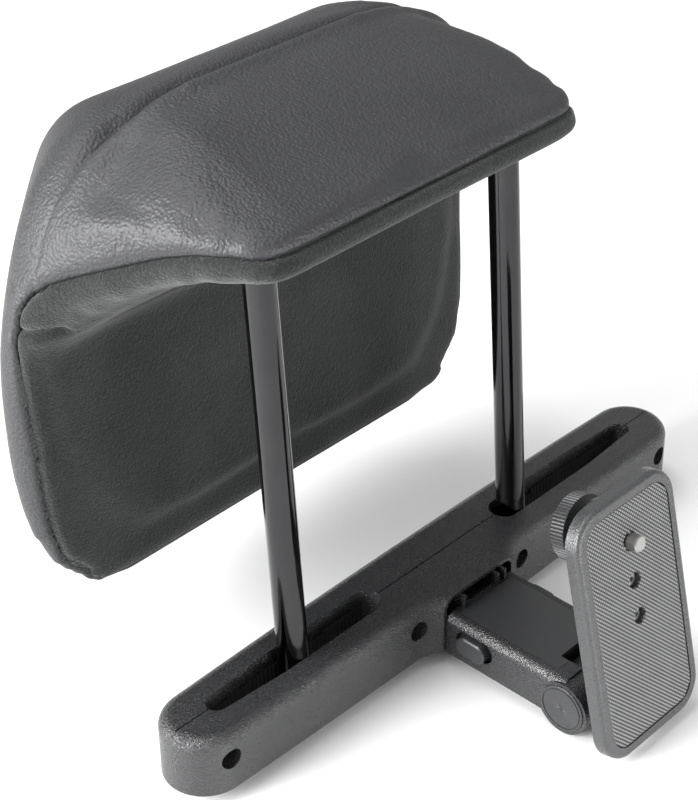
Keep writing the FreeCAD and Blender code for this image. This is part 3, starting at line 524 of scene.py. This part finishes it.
def sewn(co, normal):
    """How far the cover stands out or is drawn in at a point, from its seams and edge roll."""
    gap = seam_at(co.y, co.z)
    push = -crease_depth * hump(gap, crease_width)
    edge = min(1.0, ramp(abs(co.x), 0.060, 0.080) + (1.0 if co.y < 0.004 else 0.0))
    high = ramp(co.z, 0.145, 0.165)
    if gap > 0:
        push += puff_height * hump(gap - puff_place, puff_width) * high * (1.0 - normal.z ** 2)
    else:
        push += roll_height * math.sin(math.pi * min(-gap, roll_width) / roll_width) * high * edge
        if co.y > 0.066:
            lift = fold_slope * max(0.0, fold_half - abs(co.x))
            push -= fold_depth * hump(co.z - fold_z + lift, fold_width)
    if co.z > top_from:
        off = co.y - top_seam_y
        fade = ramp(co.x, -0.100, -0.055) * ramp(-co.x, -0.112, -0.092)
        push -= fade * groove_depth * hump(off, groove_behind if off > 0 else groove_front)
        push -= (0.25 + fade) * stitch_depth * hump(off, stitch_width)
        push += fade * lip_height * hump(off + lip_place, lip_width)
    return push


fine_reaches = (0.0045, 0.0025)
sliver, shortest_edge, wall_gap, least_turn = 0.0003, 0.0006, 0.00004, 0.75


def cover_part(name, operation, material):
    """One material's share of the swollen cushion, drawn in along its seams."""
    piece = bpy.data.objects.new(name, core.data.copy())
    bpy.context.scene.collection.objects.link(piece)
    applied(piece, "BOOLEAN", operation=operation, object=suede_side, solver="EXACT")
    part = bmesh.new()
    part.from_mesh(piece.data)
    bpy.data.objects.remove(piece)
    main_shell(part)
    bmesh.ops.dissolve_degenerate(part, dist=sliver, edges=part.edges)
    for reach in fine_reaches:
        close = {v for v in part.verts if near_seam(v) < reach}
        edges = [e for e in part.edges if close.issuperset(e.verts) and e.calc_length() > shortest_edge]
        bmesh.ops.subdivide_edges(part, edges=edges, cuts=1, use_grid_fill=True)
    bmesh.ops.triangulate(part, faces=[f for f in part.faces if len(f.verts) > 4])
    part.normal_update()
    skin = []
    for vert in part.verts:
        outer = [f for f in vert.link_faces if abs(seam_at(*f.calc_center_median().yz)) > wall_gap]
        if outer:
            normal = sum((f.normal * f.calc_area() for f in outer), Vector())
            steady = core_skin.find_nearest(vert.co)[1]
            if normal.length == 0 or normal.normalized().dot(steady) < least_turn:
                normal = steady
            skin.append((vert, normal.normalized()))
    for vert, normal in skin:
        vert.co += normal * sewn(vert.co, normal)
    gap_layer = part.verts.layers.float.new("seam_gap")
    for vert in part.verts:
        vert[gap_layer] = near_seam(vert)
    return keep_piece(part, name, material)


leather, wire, feed = finish("grained_leather", Specular_IOR_Level=0.45)
place = place_of(wire)
loose = shake(wire, place, 0.0030, 0.0011)
pebble = cells(wire, loose, 0.00110, "SMOOTH_F1")
creases = noise(wire, shake(wire, place, 0.004, 0.003), 0.0021, 3.0)
fine = noise(wire, place, 0.0006, 3.0)
wide = noise(wire, place, 0.045, 3.0)
seam_gap = wire.node("ShaderNodeAttribute", {"attribute_name": "seam_gap"}, {}, "Fac")
pucker_zone = (1.0 - seam_gap * 60.0).clamp()
stretched = wire.node("ShaderNodeMapping", {}, {"Vector": loose, "Scale": (1.0, 0.25, 0.25)})
pucker = noise(wire, stretched, 0.0024, 2.0)
height = (1.0 - pebble) * 1.1 + creases * 0.22 + fine * 0.2 + pucker * pucker_zone * 0.35
feed("Base Color", blend_tones(wire, (creases * 0.5 + wide * 0.6 - pebble * 0.3).clamp(),
                               (0.020, 0.0205, 0.022), (0.046, 0.047, 0.050)))
feed("Roughness", (wide - 0.5) * 0.10 + pebble * 0.10 + 0.44)
feed("Normal", bump(wire, height, 0.00034))
leather_cover = cover_part("leather_cover", "DIFFERENCE", leather)
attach(leather_cover, "headrest")
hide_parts("leather_front_cover", "leather_top_panel", "pad_foam", "flap_foam")

suede, wire, feed = finish("brushed_suede", Specular_IOR_Level=0.2, Sheen_Weight=0.22,
                           Sheen_Roughness=0.5)
place = place_of(wire)
nap = noise(wire, place, 0.0009, 2.0, 0.6)
brushed = noise(wire, shake(wire, place, 0.03, 0.02), 0.022, 4.0, 0.6)
tufts = noise(wire, place, 0.0022, 3.0)
shading = ((nap - 0.5) * 2.2 + (brushed - 0.5) * 1.3 + 0.45).clamp()
feed("Base Color", blend_tones(wire, shading, (0.007, 0.009, 0.008), (0.027, 0.030, 0.029)))
feed("Roughness", brushed * 0.2 + 0.75)
feed("Normal", bump(wire, nap + tufts * 0.4, 0.00060))
suede_cover = cover_part("suede_cover", "INTERSECT", suede)
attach(suede_cover, "headrest")
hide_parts("suede_back_panel", "suede_flap_band")

bpy.data.objects.remove(core)
bpy.data.objects.remove(suede_side)

# ---- Floor, light and camera ---------------------------------------------------------------------
# A white table top under a pale sky, with a soft lamp above, a broad one to the left and a
# low one in front.

floor = bmesh.new()
bmesh.ops.create_grid(floor, x_segments=1, y_segments=1, size=6.0)
floor_gap = 0.0005
bmesh.ops.translate(floor, vec=(0, 0, cad_box[0].z - floor_gap), verts=floor.verts)
white, wire, feed = finish("white_table", Roughness=0.9, Specular_IOR_Level=0.0)
cloudy = noise(wire, place_of(wire), 1.0)
feed("Base Color", blend_tones(wire, cloudy, (0.90, 0.90, 0.90), (0.92, 0.92, 0.92)))
floor_piece = keep_piece(floor, "table_top", white)

world = bpy.data.worlds.new("studio")
bpy.context.scene.world = world
world.use_nodes = True
sky = world.node_tree.nodes["Background"].inputs
sky["Color"].default_value = (1, 1, 1, 1)
sky["Strength"].default_value = 0.50


def lamp(name, place, target, size, watts):
    light = bpy.data.lights.new(name, "AREA")
    light.shape = "DISK"
    light.size = size
    light.energy = watts
    holder = bpy.data.objects.new(name, light)
    holder.location = place
    holder.rotation_euler = (Vector(target) - Vector(place)).to_track_quat("-Z", "Y").to_euler()
    bpy.context.scene.collection.objects.link(holder)


lamp("overhead", (-0.20, 0.30, 1.25), (0, 0, 0.1), 0.9, 9.0)
lamp("left", (-1.30, 0.45, 0.60), (-0.05, 0.05, 0.14), 0.9, 48.0)
lamp("front", (0.10, -1.35, 0.16), (0, 0, 0.05), 0.8, 18.0)

camera = bpy.data.objects.new("camera", bpy.data.cameras.new("camera"))
bpy.context.scene.collection.objects.link(camera)
bpy.context.scene.camera = camera
camera.data.lens = 87.37
camera.data.sensor_width = 36.0
camera.data.shift_x = -0.0161
camera.data.shift_y = -0.0601
camera.data.clip_start = 0.01
around, above, roll = math.radians(-46.38), math.radians(31.91), math.radians(-0.45)
back = Vector((math.sin(around) * math.cos(above), -math.cos(around) * math.cos(above), math.sin(above)))
side = Vector((0, 0, 1)).cross(back).normalized()
upright = back.cross(side)
across = side * math.cos(roll) + upright * math.sin(roll)
upward = upright * math.cos(roll) - side * math.sin(roll)
turn = Matrix((across, upward, back)).transposed().to_4x4()
looked_at, distance = Vector((-0.02484, 0.00167, 0.13959)), 0.69016
camera.matrix_world = Matrix.Translation(looked_at + back * distance) @ turn
bpy.context.scene.view_settings.view_transform = "Standard"
